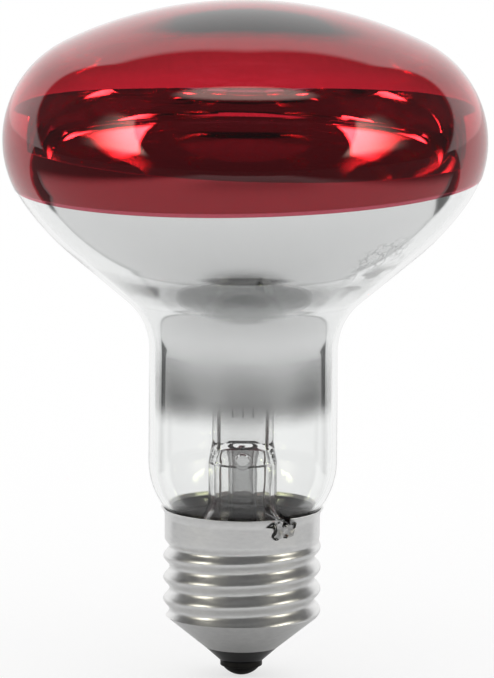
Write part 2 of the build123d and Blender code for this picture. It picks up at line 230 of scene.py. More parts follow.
channels = {}
shares = zip(("Red", "Green", "Blue"), lamp_warmth, lamp_through_lacquer, overhead_level)
for channel, warmth, through, above in shares:
    strength = multiply(sky, brightness, warmth)
    strength = arithmetic(sky, "ADD", strength, multiply(sky, through_lacquer, through))
    strength = arithmetic(sky, "ADD", multiply(sky, lamp, strength), multiply(sky, overhead, above))
    channels[channel] = arithmetic(sky, "ADD", room, strength)
room_colour = add_node(sky, "ShaderNodeCombineColor", channels).outputs[0]


def background(colour):
    """Add a world background of one colour and return its shader."""
    return add_node(sky, "ShaderNodeBackground", {"Color": colour, "Strength": 1.0}).outputs[0]


soft_light = background((1, 1, 1, 1))
white_paper = background((1, 1, 1, 1))
mirrored_room = background(room_colour)
shown = add_node(sky, "ShaderNodeMixShader", {0: path["Is Camera Ray"], 1: mirrored_room, 2: white_paper})
lit = add_node(sky, "ShaderNodeMixShader", {0: seen, 1: soft_light, 2: shown.outputs[0]})
add_node(sky, "ShaderNodeOutputWorld", {"Surface": lit.outputs[0]})

scene.cycles.max_bounces = 32
scene.cycles.transmission_bounces = 32
scene.cycles.glossy_bounces = 16
scene.cycles.transparent_max_bounces = 16
print("nodes in the studio light:", len(sky.nodes))

# %% [markdown]
# A plain pale floor lies under the tip of the bulb and runs on far past the picture's edges. One flat
# face is enough for it.

# %% Floor
floor_half = 2.0

drawing = bmesh.new()
bmesh.ops.create_grid(drawing, x_segments=1, y_segments=1, size=floor_half)
floor_mesh = bpy.data.meshes.new("floor")
drawing.to_mesh(floor_mesh)
drawing.free()
floor = bpy.data.objects.new("floor", floor_mesh)
scene.collection.objects.link(floor)
print("floor side in m:", 2 * floor_half)

# %% [markdown]
# The floor is pale grey paper, lifted to white where the camera sees it, so the bulb's shadow stays on
# it. A mirror shows it as a table top: a light grey sheet in front of the bulb, the white foot of the
# backdrop behind, and between them, out to the sides, a gap where the dark table shows. That gap is the
# dark line that bends round the mirror's edges. The sheet carries painted shade in a patch before the
# bulb and a small round painted shadow under the cap.

# %% Floor paper
floor_grey = 0.35
table_grey = 0.15
sheet_grey = 0.74
sheet_half_width = 0.27
sheet_side_softness = 0.07
sheet_front = -0.75
sheet_front_softness = 0.05
white_grey = 0.90
white_near = (0.006, 0.62)
white_far = (0.03, 0.5)
white_softness = 0.004
gap_start = 0.11
gap_slope = 0.9
gap_width = 0.045
gap_edge = (-0.006, 0.002)
dusk_centre = (0.03, -0.33)
dusk_reach = (0.14, 0.10)
dusk_softness = (0.05, 0.08)
dusk_depth = 0.35
shade_reach = 0.017
shade_softness = 0.006
shade_depth = 0.30


def vector_math(tree, operation, *vectors):
    """Add a Vector Math node and return its result."""
    made = add_node(tree, "ShaderNodeVectorMath", dict(enumerate(vectors)), operation=operation)
    return made.outputs["Value" if operation == "LENGTH" else "Vector"]


def object_place(tree):
    """Return the place on the object itself, so that a finish sticks to its piece."""
    return add_node(tree, "ShaderNodeTexCoord").outputs["Object"]


def flattened(tree, place):
    """Return a place with its height taken away."""
    return vector_math(tree, "MULTIPLY", place, (1, 1, 0))


paper_material = bpy.data.materials.new("floor_paper")
paper_material.use_nodes = True
tree = paper_material.node_tree
tree.nodes.clear()
place = object_place(tree)
x, y, z = parts_of(tree, place)
sideways = arithmetic(tree, "ABSOLUTE", x)
near_line = arithmetic(tree, "ADD", multiply(tree, sideways, white_near[1]), white_near[0])
far_line = arithmetic(tree, "ADD", multiply(tree, sideways, white_far[1]), white_far[0])
backwards = arithmetic(tree, "SUBTRACT", y, arithmetic(tree, "MINIMUM", near_line, far_line))
behind = soft_step(tree, backwards, -white_softness, white_softness)

gap = multiply(tree, arithmetic(tree, "SUBTRACT", sideways, gap_start), gap_slope)
gap = arithmetic(tree, "MINIMUM", arithmetic(tree, "MAXIMUM", gap, 0.0), gap_width)
in_gap = soft_step(tree, arithmetic(tree, "ADD", backwards, gap), *gap_edge)
# Painted shade darkens a patch of the sheet before the bulb.
dusk = multiply(
    tree,
    inside(tree, x, dusk_centre[0], dusk_reach[0], dusk_softness[0]),
    inside(tree, y, dusk_centre[1], dusk_reach[1], dusk_softness[1]),
)
# A small round painted shadow lies on the sheet under the cap.
outwards = vector_math(tree, "LENGTH", flattened(tree, place))
under_bulb = inside(tree, outwards, 0.0, shade_reach, shade_softness)
sheet = multiply(
    tree,
    inside(tree, x, 0.0, sheet_half_width, sheet_side_softness),
    soft_step(tree, y, sheet_front - sheet_front_softness, sheet_front + sheet_front_softness),
    opposite(tree, in_gap),
    opposite(tree, multiply(tree, dusk, dusk_depth)),
    opposite(tree, multiply(tree, under_bulb, shade_depth)),
)

path, seen = seen_rays(tree)
direct = path["Is Camera Ray"]
turned = arithmetic(tree, "SUBTRACT", seen, direct)
mirrored_grey = arithmetic(tree, "ADD", table_grey, multiply(tree, sheet, sheet_grey - table_grey))
change = multiply(tree, turned, arithmetic(tree, "SUBTRACT", mirrored_grey, floor_grey))
shade = arithmetic(tree, "ADD", floor_grey, change)
white_behind = multiply(tree, turned, behind, arithmetic(tree, "SUBTRACT", white_grey, mirrored_grey))
lift = arithmetic(tree, "ADD", multiply(tree, direct, 1.0 - floor_grey), white_behind)
paper_shade = add_node(tree, "ShaderNodeBsdfDiffuse", {"Color": shade})
paper_glow = add_node(tree, "ShaderNodeEmission", {"Color": (1, 1, 1, 1), "Strength": lift})
both = add_node(tree, "ShaderNodeAddShader", {0: paper_shade.outputs[0], 1: paper_glow.outputs[0]})
add_node(tree, "ShaderNodeOutputMaterial", {"Surface": both.outputs[0]})
floor_mesh.materials.append(paper_material)
print("nodes in the floor's paper:", len(tree.nodes))

# %% [markdown]
# The glass outline is a chain of arcs and three straight runs, as a glass blower's mould would be turned.
# One vertex starts on the crown. Spinning that vertex about the centre of each arc draws the arc, and
# extruding it draws a straight run. Because the arcs share centres, a vertex that starts deeper draws the
# inner wall by itself.

# %% Outline of the glass
glass_low, glass_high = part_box("glass_envelope")
crown_height = glass_high.z
tail_end = glass_low.z
bulb_radius = 40.0 * mm
glass_wall = 0.9 * mm
dome_radius = 68.0 * mm
rim_radius = 17.3 * mm
bowl_start = radians(34.5)
bowl_radius = 45.0 * mm
cone_angle = radians(49.6)
throat_radius = 11.1 * mm
neck_radius = 15.65 * mm
neck_end_radius = 12.9 * mm
tail_bend_radius = 3.0 * mm
tail_radius = 11.7 * mm
rim_height = 28.4 * mm
glass_radius_at_rim = 12.95 * mm
facet_length = 0.7 * mm
fewest_facets = 3

rim_centre_x = bulb_radius - rim_radius
dome_centre_z = crown_height - dome_radius
equator = dome_centre_z + sqrt((dome_radius - rim_radius) ** 2 - rim_centre_x**2)
rim_angle = atan2(equator - dome_centre_z, rim_centre_x)
bowl_centre_x = rim_centre_x + (rim_radius - bowl_radius) * cos(bowl_start)
bowl_centre_z = equator - (rim_radius - bowl_radius) * sin(bowl_start)
cone_top_x = bowl_centre_x + bowl_radius * cos(cone_angle)
cone_top_z = bowl_centre_z - bowl_radius * sin(cone_angle)
cone_foot_x = neck_radius + throat_radius * (1 - cos(cone_angle))
cone_foot_z = cone_top_z - (cone_top_x - cone_foot_x) / tan(cone_angle)
throat_centre_z = cone_foot_z - throat_radius * sin(cone_angle)
neck_end_x = neck_radius - neck_end_radius
neck_end_z = rim_height + sqrt(neck_end_radius**2 - (glass_radius_at_rim - neck_end_x) ** 2)
tail_bend_x = tail_radius + tail_bend_radius
tail_bend_drop = sqrt((neck_end_radius + tail_bend_radius) ** 2 - (tail_bend_x - neck_end_x) ** 2)
tail_bend_z = neck_end_z - tail_bend_drop
tail_angle = atan2(neck_end_z - tail_bend_z, tail_bend_x - neck_end_x)


def turn(drawing, vertex, centre_x, centre_z, angle):
    """Draw an arc by spinning a vertex about a centre in the XZ plane and return its last vertex."""
    centre = Vector((centre_x, 0, centre_z))
    steps = max(fewest_facets, ceil(abs(angle) * (vertex.co - centre).length / facet_length))
    drawn = bmesh.ops.spin(drawing, geom=[vertex], cent=centre, axis=(0, 1, 0), angle=angle, steps=steps)
    return drawn["geom_last"][0]


def run(drawing, vertex, offset):
    """Draw a straight run by extruding a vertex and return its last vertex."""
    drawn = bmesh.ops.extrude_vert_indiv(drawing, verts=[vertex])["verts"][0]
    drawn.co += Vector(offset)
    return drawn


def draw_wall(drawing, inset):
    """Draw the glass outline from crown to tail, moved inwards by inset, and return its last vertex."""
    end = drawing.verts.new((0, 0, crown_height - inset))
    end = turn(drawing, end, 0, dome_centre_z, pi / 2 - rim_angle)
    end = turn(drawing, end, rim_centre_x, equator, rim_angle + bowl_start)
    end = turn(drawing, end, bowl_centre_x, bowl_centre_z, cone_angle - bowl_start)
    end = run(drawing, end, (cone_foot_x - cone_top_x, 0, cone_foot_z - cone_top_z))
    end = turn(drawing, end, neck_radius + throat_radius, throat_centre_z, -cone_angle)
    end = run(drawing, end, (0, 0, neck_end_z - throat_centre_z))
    end = turn(drawing, end, neck_end_x, neck_end_z, tail_angle)
    end = turn(drawing, end, tail_bend_x, tail_bend_z, -tail_angle)
    return run(drawing, end, (0, 0, tail_end - tail_bend_z))


print("equator in mm:", round(equator / mm, 2), "cone foot in mm:", round(cone_foot_z / mm, 2))

# %% [markdown]
# A drawn outline becomes glass or film by one spin round the axis. The spin leaves doubled points at the
# poles, so they are merged, and only then are the faces turned outwards. Edges of a film are cut by
# planes. Every finished piece stays where it was drawn, rides on the bulb's one body and stands for its
# CAD nodes.

# %% From an outline to a piece
spin_steps = 160
weld_distance = 0.001 * mm
sharp_angle = radians(40)


def spin_round(drawing):
    """Turn a drawn outline once round the bulb's axis into a surface."""
    bmesh.ops.spin(
        drawing,
        geom=drawing.verts[:] + drawing.edges[:],
        cent=(0, 0, 0),
        axis=(0, 0, 1),
        angle=2 * pi,
        steps=spin_steps,
        use_merge=True,
    )
    bmesh.ops.remove_doubles(drawing, verts=drawing.verts[:], dist=weld_distance)
    bmesh.ops.recalc_face_normals(drawing, faces=drawing.faces[:])


def cut(drawing, point, normal, **settings):
    """Cut all of a surface by a plane."""
    everything = drawing.verts[:] + drawing.edges[:] + drawing.faces[:]
    bmesh.ops.bisect_plane(drawing, geom=everything, plane_co=point, plane_no=normal, **settings)


def is_over(place, point, normal):
    """Tell whether a place lies on the side of a plane that its normal points to."""
    return (place - point).dot(normal) > 0


def looks_outwards(face):
    """Tell whether a face of the dome looks away from the dome's centre."""
    return face.normal.dot(face.calc_center_median() - Vector((0, 0, dome_centre_z))) > 0


def finish_piece(drawing, name, replaced, materials):
    """Make a bmesh into a piece of the bulb that stands for its CAD nodes."""
    bmesh.ops.recalc_face_normals(drawing, faces=drawing.faces[:])
    for face in drawing.faces:
        face.smooth = True
    piece_mesh = bpy.data.meshes.new(name)
    drawing.to_mesh(piece_mesh)
    drawing.free()
    piece_mesh.set_sharp_from_angle(angle=sharp_angle)
    for material in materials:
        piece_mesh.materials.append(material)
    piece = bpy.data.objects.new(name, piece_mesh)
    scene.collection.objects.link(piece)
    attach(piece, "root")
    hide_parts(*replaced)
    print(name, "faces:", len(piece_mesh.polygons))


print("facets round the bulb:", spin_steps)

# %% [markdown]
# Blown and drawn glass is never quite even. A slow noise, shared by the envelope, the mirror and the stem,
# bends each surface by a tenth of a millimetre or less, just enough to make a reflection waver.

# %% Shared effect: the waver of blown glass
def group_with(name, inputs, outputs):
    """Start a node group with named inputs and outputs and return it with its two end nodes."""
    group = bpy.data.node_groups.new(name, "ShaderNodeTree")
    for label, value in inputs.items():
        socket = group.interface.new_socket(name=label, in_out="INPUT", socket_type="NodeSocketFloat")
        socket.default_value = value
    for label in outputs:
        group.interface.new_socket(name=label, in_out="OUTPUT", socket_type="NodeSocketFloat")
    start = group.nodes.new("NodeGroupInput")
    end = group.nodes.new("NodeGroupOutput")
    return group, start.outputs, end.inputs


def use_group(tree, group, **values):
    """Add a shared group to a tree, set its inputs and return its outputs."""
    return add_node(tree, "ShaderNodeGroup", values, node_tree=group).outputs


def stretched_place(tree, stretch):
    """Return the place on the object with its height multiplied by stretch."""
    factors = add_node(tree, "ShaderNodeCombineXYZ", {"X": 1.0, "Y": 1.0, "Z": stretch}).outputs[0]
    return vector_math(tree, "MULTIPLY", object_place(tree), factors)


def noise(tree, place, scale, detail):
    """Return a soft noise between 0 and 1."""
    inputs = {"Vector": place, "Scale": scale, "Detail": detail}
    return add_node(tree, "ShaderNodeTexNoise", inputs).outputs["Fac"]


waver, given, result = group_with("glass_waver", {"Scale": 100.0, "Stretch": 1.0}, ["Height"])
ripple = noise(waver, stretched_place(waver, given["Stretch"]), given["Scale"], 1.0)
waver.links.new(ripple, result["Height"])


def new_material(name, **sockets):
    """Start a material with one Principled shader and set its plain sockets."""
    material = bpy.data.materials.new(name)
    material.use_nodes = True
    shader = material.node_tree.nodes["Principled BSDF"]
    for socket, value in sockets.items():
        shader.inputs[socket.replace("_", " ")].default_value = value
    return material, material.node_tree, shader


def add_relief(tree, shader, height, distance):
    """Bend a material's normal by a height."""
    bump = add_node(tree, "ShaderNodeBump", {"Height": height, "Distance": distance})
    tree.links.new(bump.outputs["Normal"], shader.inputs["Normal"])


def add_waver(tree, shader, scale, stretch, depth):
    """Bend a material's normal with the shared waver."""
    add_relief(tree, shader, use_group(tree, waver, Scale=scale, Stretch=stretch)["Height"], depth)


print("shared groups:", len(bpy.data.node_groups))

# %% [markdown]
# Clear glass is a Principled shader with full transmission. Where the lacquer lies on the glass there is
# no air between them, so light neither bends nor reflects there. The glass face under the lacquer is
# therefore left see-through, and the lacquer's own outer face does the bending. Each ray counts the
# see-through faces that it crosses, which is how the studio light knows those that came through the dome.

# %% Glass materials
clear_glass, tree, shader = new_material(
    "clear_glass", Base_Color=(0.985, 0.992, 0.988, 1), Roughness=0.0, IOR=1.5, Transmission_Weight=1.0
)
add_waver(tree, shader, scale=60.0, stretch=0.5, depth=0.02 * mm)
wetted_glass, tree, shader = new_material(
    "glass_under_lacquer", Base_Color=(1, 1, 1, 1), Roughness=0.0, IOR=1.0, Transmission_Weight=1.0, Alpha=0.0
)
print("glass finishes:", clear_glass.name, wetted_glass.name)

# %% [markdown]
# The envelope is one closed wall: the outer and the inner outline joined at the tail and spun round the
# axis. A cut along the lacquer's slanting edge lets the faces above it take the second glass material.

# %% Glass envelope
lacquer_edge = Vector((0, 0, 83.2 * mm))
lacquer_slope = 0.030
lacquer_up = Vector((-lacquer_slope, 0, 1)).normalized()

drawing = bmesh.new()
outer_end = draw_wall(drawing, 0)
inner_end = draw_wall(drawing, glass_wall)
drawing.edges.new((outer_end, inner_end))
spin_round(drawing)
cut(drawing, lacquer_edge, lacquer_up)
for face in drawing.faces:
    above = is_over(face.calc_center_median(), lacquer_edge, lacquer_up)
    face.material_index = int(above and looks_outwards(face))
finish_piece(drawing, "lamp_glass", ["glass_envelope"], [clear_glass, wetted_glass])

# %% [markdown]
# The lacquer is a film about a tenth of a millimetre thick. Both its faces carry the colour, so light
# that crosses the film is tinted at each of them. Its inner face lies on the glass and has an index of 1,
# so it tints and does not bend. The dipped film is deeper red near its lower edge, where it drained, and
# on the crown's far side, where light crosses it at a slant. The crown itself has a dark oval patch with
# an uneven edge.

# %% Lacquer finish
lacquer_index = 1.5
lacquer_red = (0.75, 0.118, 0.175, 1)
lacquer_low_red = (0.58, 0.085, 0.13, 1)
lacquer_slant_red = (0.25, 0.012, 0.03, 1)
drained = (6 * mm, 16 * mm)
slanting = (0.30, 0.64)
crown_start = (97 * mm, 103 * mm)
blot_centre = Vector((1.0, -11.6, 0)) * mm
blot_reach = Vector((18.0, 7.6, 1.0)) * mm
blot_edge = (0.70, 1.22)
blot_lumps = 0.35
blot_lump_scale = 130.0
blot_dark = (0.0004, 0.0004, 0.0004, 1)
blot_low = crown_height - 9 * mm
blot_high = crown_height - 8 * mm


def apart(tree, place, centre, reach):
    """Return how far a place lies from a centre, counted in reaches."""
    offset = vector_math(tree, "SUBTRACT", place, centre)
    return vector_math(tree, "LENGTH", vector_math(tree, "DIVIDE", offset, reach))


def mixed(tree, factor, first, second):
    """Mix two colours by a factor; each is a plain colour or another node's output."""
    return add_node(tree, "ShaderNodeMix", {0: factor, 6: first, 7: second}, data_type="RGBA").outputs[2]


def slant_of(tree):
    """Return 0 where a surface faces the eye and 1 at its edge."""
    return add_node(tree, "ShaderNodeLayerWeight", {"Blend": 0.5}).outputs["Facing"]


def lacquer_face(name, index):
    """Make one face of the lacquer film, which is deeper red where light crosses it at a slant."""
    material, tree, shader = new_material(name, Roughness=0.0, IOR=index, Transmission_Weight=1.0)
    x, y, z = parts_of(tree, object_place(tree))
    above_edge = arithmetic(tree, "SUBTRACT", z, lacquer_edge.z)
    above_edge = arithmetic(tree, "SUBTRACT", above_edge, multiply(tree, x, lacquer_slope))
    colour = mixed(tree, soft_step(tree, above_edge, *drained), lacquer_low_red, lacquer_red)
    slant = multiply(tree, soft_step(tree, slant_of(tree), *slanting), soft_step(tree, z, *crown_start))
    return material, tree, shader, mixed(tree, slant, colour, lacquer_slant_red)


red_lacquer, tree, shader, colour = lacquer_face("red_lacquer", index=lacquer_index)
tree.links.new(colour, shader.inputs["Base Color"])

lacquer_contact, tree, shader, colour = lacquer_face("lacquer_on_glass", index=1.0)
place = object_place(tree)
lumps = arithmetic(tree, "SUBTRACT", noise(tree, place, blot_lump_scale, 1.0), 0.5)
lumps = multiply(tree, lumps, blot_lumps)
outwards = arithmetic(tree, "ADD", apart(tree, flattened(tree, place), blot_centre, blot_reach), lumps)
blot = multiply(
    tree,
    opposite(tree, soft_step(tree, outwards, *blot_edge)),
    soft_step(tree, parts_of(tree, place)["Z"], blot_low, blot_high),
)
tree.links.new(mixed(tree, blot, colour, blot_dark), shader.inputs["Base Color"])
print("lacquer faces:", red_lacquer.name, lacquer_contact.name)

# %% [markdown]
# The film follows the dome, so it is the glass outline moved outwards and spun. A plane along the slanting
# edge cuts it off, and it is then thickened inwards. A tiny gap is left between film and glass, because
# two faces in one place would confuse the renderer.

# %% Lacquer film
film_gap = 0.02 * mm
lacquer_film = 0.12 * mm

drawing = bmesh.new()
draw_wall(drawing, -film_gap - lacquer_film)
spin_round(drawing)
cut(drawing, lacquer_edge, lacquer_up, clear_inner=True)
bmesh.ops.solidify(drawing, geom=drawing.faces[:], thickness=lacquer_film)
bmesh.ops.recalc_face_normals(drawing, faces=drawing.faces[:])
for face in drawing.faces:
    face.material_index = int(not looks_outwards(face))
finish_piece(drawing, "dome_lacquer", ["red_lacquer"], [red_lacquer, lacquer_contact])

# %% [markdown]
# The mirror is aluminium vapour on the inside of the bowl. Down the neck the film thins out, so it first
# grows darker and then fades by Alpha, with a little noise where the vapour drifted. The blown wall behind
# it is uneven, most of all where the bowl runs into the neck. Three soft steps in the relief bend the
# reflections there, as the thick glass does. On the right the film is wrinkled in a patch.

# %% Mirror finish
fade = (43.2 * mm, 49.6 * mm)
thin_below = 59.0 * mm
fade_drift = 2.0 * mm
drift_scale = 90.0
film_bright = (0.88, 0.88, 0.885, 1)
film_thin = (0.40, 0.40, 0.40, 1)
wedge = (67.8 * mm, 3.4 * mm, 1.3 * mm)
hollow = (78.5 * mm, 9.5 * mm, -0.6 * mm)
shoulder = (56.5 * mm, 7.5 * mm, 0.42 * mm)
ripple_scale = 45.0
ripple_stretch = 0.6
ripple_depth = 0.05 * mm
wrinkle_centre = Vector((22.0, -19.5, 74.0)) * mm
wrinkle_reach = Vector((8.0, 9.0, 6.0)) * mm
wrinkle_scale = 420.0
wrinkle_edge = (0.50, 0.62)
wrinkle_depth = 0.10 * mm


def patch(tree, place, centre, reach):
    """Return 1 round a centre, fading to 0 from half of the reach to all of it."""
    return opposite(tree, soft_step(tree, apart(tree, place, centre, reach), 0.5, 1.0))


mirror_metal, tree, shader = new_material("mirror_film", Roughness=0.03, Metallic=1.0)
place = object_place(tree)
level = parts_of(tree, place)["Z"]
drift = arithmetic(tree, "SUBTRACT", noise(tree, place, drift_scale, 2.0), 0.5)
drift = multiply(tree, drift, fade_drift)
height = arithmetic(tree, "ADD", level, drift)
tree.links.new(soft_step(tree, height, *fade), shader.inputs["Alpha"])
film = mixed(tree, soft_step(tree, height, fade[1], thin_below), film_thin, film_bright)

rippled = use_group(tree, waver, Scale=ripple_scale, Stretch=ripple_stretch)["Height"]
relief = multiply(tree, rippled, ripple_depth)
for middle, reach, rise in (wedge, hollow, shoulder):
    step = soft_step(tree, level, middle - reach, middle + reach)
    relief = arithmetic(tree, "ADD", relief, multiply(tree, step, rise))

wrinkled = patch(tree, place, wrinkle_centre, wrinkle_reach)
folds = noise(tree, place, wrinkle_scale, 2.0)
crumple = multiply(tree, soft_step(tree, folds, *wrinkle_edge), wrinkled, wrinkle_depth)
add_relief(tree, shader, arithmetic(tree, "ADD", relief, crumple), 1.0)
print("nodes in the mirror's fade and relief:", len(tree.nodes))

# %% [markdown]
# Dark marks in the film come next. Dark streaks lie in and under the wrinkled patch, and the creases of
# that patch are darkened with painted shade. A band to the left of the throat and a brow over it are
# painted reflections: they stand for dark reflections that the thick glass gathers there. All of them keep
# to places on the bulb, so they stay put from every side.

# %% Dark marks, painted shade and painted reflections of the mirror
dark_of_marks_and_shade = (0.02, 0.02, 0.02, 1)
crease_level = 0.52
crease_width = (0.01, 0.05)
crease_shade_strength = 0.36
streak_centre = Vector((21.0, -14.0, 68.9)) * mm
streak_reach = Vector((8.0, 11.0, 5.6)) * mm
streak_scale = 150.0
streak_stretch = 3.6
streak_edge = (0.45, 0.55)
reflection_band_height = 68.0 * mm
reflection_band_width = (0.5 * mm, 1.8 * mm)
reflection_band_start = -25.2 * mm
reflection_band_full = -14.2 * mm
reflection_band_tip = -13.2 * mm
reflection_brow_centre = Vector((0.3, -27.4, 71.3)) * mm
reflection_brow_reach = Vector((9.0, 6.0, 1.0)) * mm
reflection_brow_strength = 0.72

across = parts_of(tree, place)["X"]
# The creases of the wrinkled patch are darkened with painted shade.
off_crease = arithmetic(tree, "ABSOLUTE", arithmetic(tree, "SUBTRACT", folds, crease_level))
crease_shade = opposite(tree, soft_step(tree, off_crease, *crease_width))
streaks = noise(tree, stretched_place(tree, streak_stretch), streak_scale, 1.0)
streaks = soft_step(tree, streaks, *streak_edge)
# A dark band painted into the film left of the throat stands for a reflection.
off_reflection_band = arithmetic(tree, "ABSOLUTE", arithmetic(tree, "SUBTRACT", level, reflection_band_height))
reflection_band = multiply(
    tree,
    soft_step(tree, across, reflection_band_start, reflection_band_full),
    opposite(tree, soft_step(tree, across, reflection_band_full, reflection_band_tip)),
    opposite(tree, soft_step(tree, off_reflection_band, *reflection_band_width)),
)
streaked = multiply(tree, streaks, patch(tree, place, streak_centre, streak_reach))
shaded_creases = multiply(tree, crease_shade, wrinkled, crease_shade_strength)
# The brow over the throat is a painted reflection too.
reflection_brow = multiply(tree, patch(tree, place, reflection_brow_centre, reflection_brow_reach), reflection_brow_strength)
marks_and_painted_shade = reflection_band
for mark in (streaked, shaded_creases, reflection_brow):
    marks_and_painted_shade = arithmetic(tree, "MAXIMUM", marks_and_painted_shade, mark)
tree.links.new(mixed(tree, marks_and_painted_shade, film, dark_of_marks_and_shade), shader.inputs["Base Color"])
print("nodes in the mirror's finish:", len(tree.nodes))

# %% [markdown]
# The film lies on the inside of the glass, so it is the outline moved inwards and spun. Its upper edge is
# low in front and high at the back, and climbs between them, so three planes cut it.

# %% Mirror film
mirror_film = 0.12 * mm
ramp_foot = Vector((0, -17.5, 89.3)) * mm
front_plane = (ramp_foot, Vector((0.030, -0.008, 1)).normalized())
ramp_plane = (ramp_foot, Vector((0.03, -2.4, 1)).normalized())
back_plane = (Vector((0, 17.0, 95.3)) * mm, Vector((-0.006, 0.020, 1)).normalized())
mirror_bottom = Vector((0, 0, 43.0)) * mm

drawing = bmesh.new()
draw_wall(drawing, glass_wall + film_gap)
spin_round(drawing)
for plane in (front_plane, ramp_plane, back_plane):
    cut(drawing, *plane)
bare = []
for face in drawing.faces:
    over_front, over_ramp, over_back = (
        is_over(face.calc_center_median(), *plane) for plane in (front_plane, ramp_plane, back_plane)
    )
    if over_front and (over_ramp or over_back):
        bare.append(face)
bmesh.ops.delete(drawing, geom=bare, context="FACES")
cut(drawing, mirror_bottom, Vector((0, 0, 1)), clear_inner=True)
bmesh.ops.solidify(drawing, geom=drawing.faces[:], thickness=mirror_film)
finish_piece(drawing, "bowl_mirror", ["mirror_coating"], [mirror_metal])

# %% [markdown]
# The stem is drawn glass, pressed flat round the leads while it was soft. Its CAD pieces are smooth
# enough to keep, and only need the finish. Thick glass shows dark edges, because light that enters there
# never comes straight out; here that shade is painted, so the colour darkens where the surface turns away.
# The press is greyer than the flare, and the tube greyer still.

# %% Stem glass
press_foot = 38.5 * mm
press_blend = 1.5 * mm
flare_colour = (0.95, 0.955, 0.95, 1)
press_colour = (0.80, 0.80, 0.80, 1)
stem_edge = (0.4, 0.85)
stem_edge_shade = (0.05, 0.05, 0.05, 1)
tube_colour = (0.62, 0.62, 0.62, 1)
tube_edge = (0.15, 0.7)
tube_edge_shade = (0.10, 0.10, 0.10, 1)
stem_index = 1.54

stem_glass, tree, shader = new_material("stem_glass", Roughness=0.0, IOR=stem_index, Transmission_Weight=1.0)
pressed = soft_step(tree, parts_of(tree, object_place(tree))["Z"], press_foot - press_blend, press_foot)
body = mixed(tree, pressed, flare_colour, press_colour)
# Painted shade darkens the stem's glass where its surface turns away.
edge = soft_step(tree, slant_of(tree), *stem_edge)
tree.links.new(mixed(tree, edge, body, stem_edge_shade), shader.inputs["Base Color"])
add_waver(tree, shader, scale=350.0, stretch=0.5, depth=0.12 * mm)

tube_glass, tree, shader = new_material("tube_glass", Roughness=0.0, IOR=stem_index, Transmission_Weight=1.0)
# Painted shade darkens the tube's glass where its surface turns away.
edge = soft_step(tree, slant_of(tree), *tube_edge)
tree.links.new(mixed(tree, edge, tube_colour, tube_edge_shade), shader.inputs["Base Color"])
add_waver(tree, shader, scale=350.0, stretch=0.3, depth=0.10 * mm)


def dress(material, *names):
    """Give kept CAD nodes their finish."""
    for name in names:
        slots = nodes[name].data.materials
        slots.clear()
        slots.append(material)
    print(material.name, "on:", ", ".join(names))


dress(stem_glass, "stem_flare")
dress(tube_glass, "exhaust_tube")

# %% [markdown]
# Plain finishes: drawn wire, rolled aluminium, solder, black glass, cement. One shared group gives each
# of them uneven brightness and polish, with its own scale and depth.

# %% Shared effect: uneven grain
uneven, given, result = group_with(
    "uneven_grain",
    {"Scale": 800.0, "Stretch": 1.0, "Low": 0.2, "High": 0.4},
    ["Shade", "Roughness", "Height"],
)
grain = noise(uneven, stretched_place(uneven, given["Stretch"]), given["Scale"], 4.0)
spread = arithmetic(uneven, "SUBTRACT", given["High"], given["Low"])
polish = arithmetic(uneven, "ADD", given["Low"], multiply(uneven, grain, spread))
uneven.links.new(grain, result["Shade"])
uneven.links.new(polish, result["Roughness"])
uneven.links.new(grain, result["Height"])


def grained(name, dark, light, scale, rough, depth, stretch=1.0, metallic=1.0):
    """Make a finish, a metal unless told otherwise, that runs between two shades with the shared grain."""
    material, tree, shader = new_material(name, Metallic=metallic)
    group = use_group(tree, uneven, Scale=scale, Stretch=stretch, Low=rough[0], High=rough[1])
    tree.links.new(mixed(tree, group["Shade"], (*dark, 1), (*light, 1)), shader.inputs["Base Color"])
    tree.links.new(group["Roughness"], shader.inputs["Roughness"])
    add_relief(tree, shader, group["Height"], depth)
    return material


print("shared groups:", len(bpy.data.node_groups))

# %% [markdown]
# The leads are nickel above the press and copper-clad from there down, and the supports are molybdenum:
# all thin, dull and drawn along their length. The cap is rolled aluminium with a soft shine. The centre
# contact is a soldered eyelet, coloured nearly black. All of them keep their CAD solids, because the
# thread and the wires are already true.

# %% Metals
cap_aluminium = grained(
    "cap_aluminium", dark=(0.66, 0.66, 0.66), light=(0.84, 0.84, 0.83), scale=700.0, rough=(0.24, 0.42),
    depth=0.02 * mm, stretch=2.5,
)
nickel = grained(
    "nickel_wire", dark=(0.16, 0.155, 0.15), light=(0.34, 0.33, 0.32), scale=900.0, rough=(0.2, 0.35),
    depth=0.01 * mm, stretch=0.3,
)
copper = grained(
    "copper_wire", dark=(0.10, 0.08, 0.07), light=(0.24, 0.18, 0.15), scale=900.0, rough=(0.25, 0.4),
    depth=0.01 * mm, stretch=0.3,
)
molybdenum = grained(
    "support_wire", dark=(0.30, 0.30, 0.31), light=(0.50, 0.50, 0.51), scale=900.0, rough=(0.25, 0.4),
    depth=0.01 * mm, stretch=0.3,
)
contact_metal = grained(
    "contact_metal", dark=(0.010, 0.010, 0.010), light=(0.045, 0.043, 0.04), scale=500.0, rough=(0.3, 0.5),
    depth=0.02 * mm,
)
dress(cap_aluminium, "cap_shell")
dress(nickel, "inner_lead_left", "inner_lead_right")
dress(copper, "seal_wire_left", "seal_wire_right", "centre_lead", "side_lead")
dress(molybdenum, "support_wire_left", "support_wire_middle", "support_wire_right")
dress(contact_metal, "contact_plate", "centre_solder")

# %% [markdown]
# Through the clear neck one looks down into the cap, which is dull and dark inside. A mask by distance
# from the axis finds that inside, above the thread, and takes the shine off it.

# %% Inside of the cap
shell_inside = 12.75 * mm
shell_edge = 0.05 * mm
skirt_foot = 25.0 * mm
dull_grey = (0.13, 0.125, 0.12, 1)
dull_roughness = 0.9

